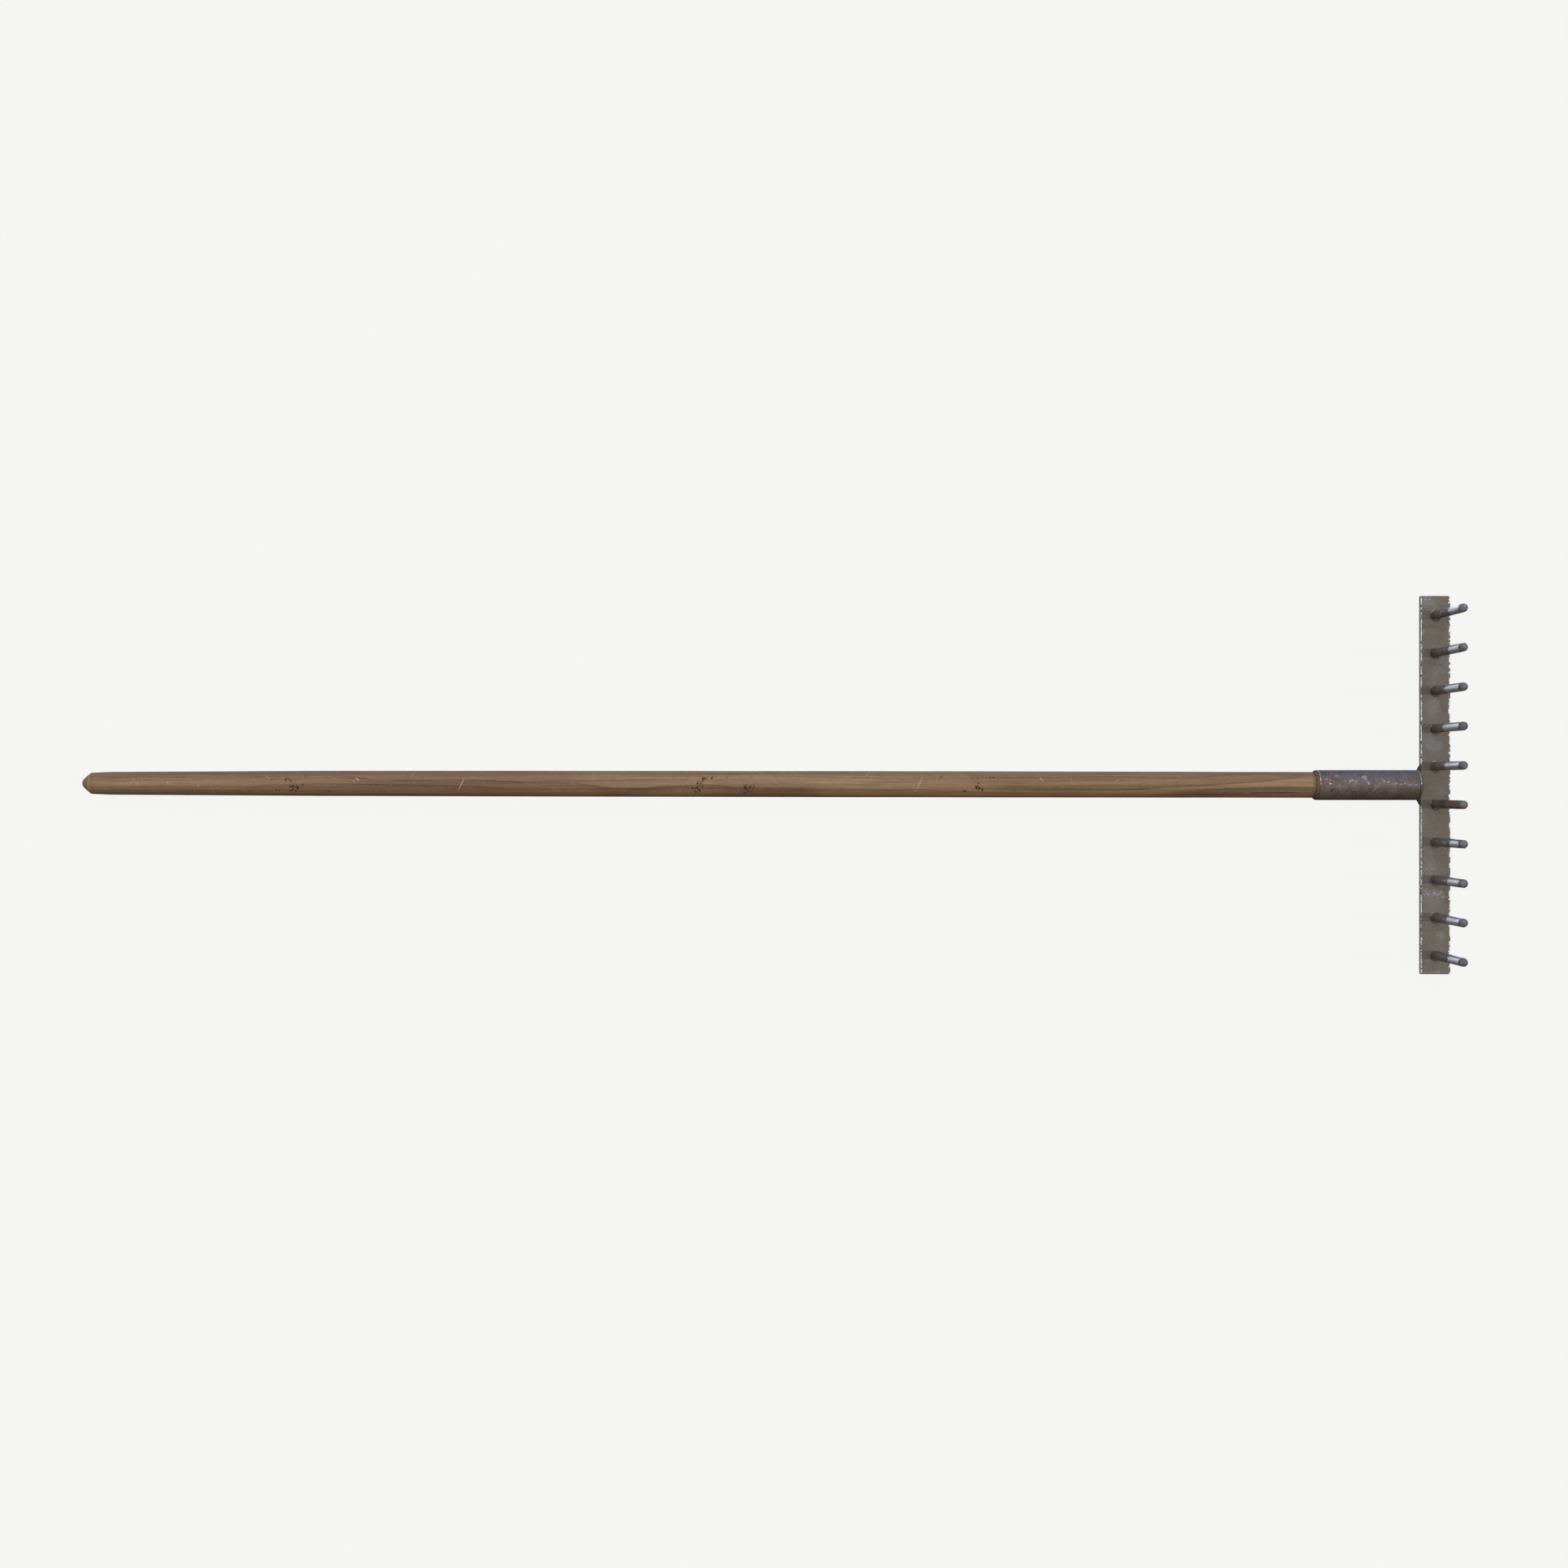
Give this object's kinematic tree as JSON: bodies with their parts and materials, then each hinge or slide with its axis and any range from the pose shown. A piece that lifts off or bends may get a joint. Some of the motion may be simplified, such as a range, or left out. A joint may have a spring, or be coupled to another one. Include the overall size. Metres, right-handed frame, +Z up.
{
  "type": "hay rake",
  "caption": "Long-handled rake with straight round steel tines through a flat bar, welded to a tubular socket on a varnished wooden handle.",
  "frame": {"origin": "middle of the rake's length and width, on the surface that it lies on", "axes": "+X from the free end of the handle to the head, +Y along the bar, +Z up along the tines: the rake lies on its back"},
  "size_m": [1.515, 0.419, 0.1134],
  "materials": {
    "varnished_wood": "worn semi-gloss varnish over long grain",
    "socket_paint": "worn dark grey-brown paint, scratched, with rust near the mouth",
    "bar_paint": "worn grey-brown paint, chipped to bright metal along the edges",
    "tine_steel": "dark paint at the root, worn to bright steel towards the tip",
    "weld_bead": "dark painted weld, slightly rough",
    "screw_steel": "dull, slightly rusted"
  },
  "bodies": {
    "root": {"handle": "varnished_wood", "handle_screw": "screw_steel", "head_bar": "bar_paint", "socket_end_cap": "socket_paint", "socket_tube": "socket_paint", "socket_weld_back": "weld_bead", "socket_weld_left": "weld_bead", "socket_weld_right": "weld_bead", "tine_01": "tine_steel", "tine_02": "tine_steel", "tine_03": "tine_steel", "tine_04": "tine_steel", "tine_05": "tine_steel", "tine_06": "tine_steel", "tine_07": "tine_steel", "tine_08": "tine_steel", "tine_09": "tine_steel", "tine_10": "tine_steel", "tine_weld_01": "weld_bead", "tine_weld_02": "weld_bead", "tine_weld_03": "weld_bead", "tine_weld_04": "weld_bead", "tine_weld_05": "weld_bead", "tine_weld_06": "weld_bead", "tine_weld_07": "weld_bead", "tine_weld_08": "weld_bead", "tine_weld_09": "weld_bead", "tine_weld_10": "weld_bead"}
  },
  "joints": []
}
